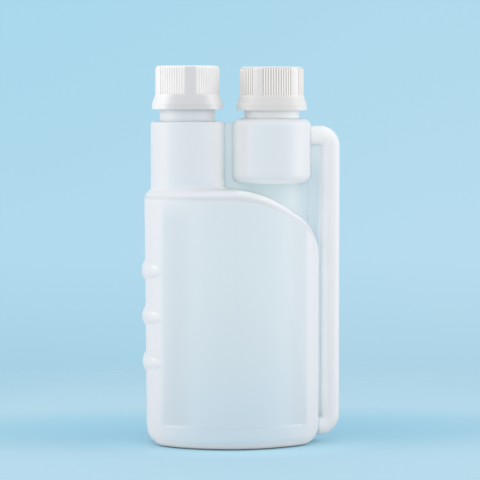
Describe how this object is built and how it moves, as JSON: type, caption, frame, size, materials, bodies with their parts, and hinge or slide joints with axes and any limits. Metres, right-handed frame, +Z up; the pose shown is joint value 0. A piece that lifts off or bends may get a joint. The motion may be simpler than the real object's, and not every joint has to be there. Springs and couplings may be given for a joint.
{
  "type": "twin neck bottle",
  "caption": "Milky squeeze bottle with a filling neck, a dosing chamber and neck fed by a side tube, and ribbed white screw caps.",
  "frame": {"origin": "on the floor, under the middle of the box round the object", "axes": "+X from the filling neck towards the dosing neck and the tube, +Y to the back, +Z up"},
  "size_m": [0.096, 0.058, 0.1826],
  "materials": {
    "bottle_plastic": "satin, milky natural polyethylene",
    "cap_plastic": "satin white polypropylene",
    "liner_foam": "matt foamed polyethylene"
  },
  "bodies": {
    "bottle_body": {"bottle": "bottle_plastic"},
    "fill_wad": {"fill_cap_liner": "liner_foam"},
    "fill_closure": {"fill_cap": "cap_plastic"},
    "dosing_wad": {"dosing_cap_liner": "liner_foam"},
    "dosing_closure": {"dosing_cap": "cap_plastic"}
  },
  "joints": [
    {"name": "fill_cap_lift", "type": "slide", "parent": "bottle_body", "child": "fill_wad", "axis": [0, 0, 1], "range_m": [0, 0.04]},
    {"name": "fill_cap_turn", "type": "hinge", "parent": "fill_wad", "child": "fill_closure", "pos_m": [-0.0258, 0, 0.1802], "axis": [0, 0, 1], "range_deg": [0, 3400]},
    {"name": "dosing_cap_lift", "type": "slide", "parent": "bottle_body", "child": "dosing_wad", "axis": [0, 0, 1], "range_m": [0, 0.04]},
    {"name": "dosing_cap_turn", "type": "hinge", "parent": "dosing_wad", "child": "dosing_closure", "pos_m": [0.0149, 0, 0.1797], "axis": [0, 0, 1], "range_deg": [0, 3400]}
  ],
  "couplings": [
    {"joint": "fill_cap_lift", "follows": "fill_cap_turn", "m_per_rad": 0.00067376},
    {"joint": "dosing_cap_lift", "follows": "dosing_cap_turn", "m_per_rad": 0.00067376}
  ]
}
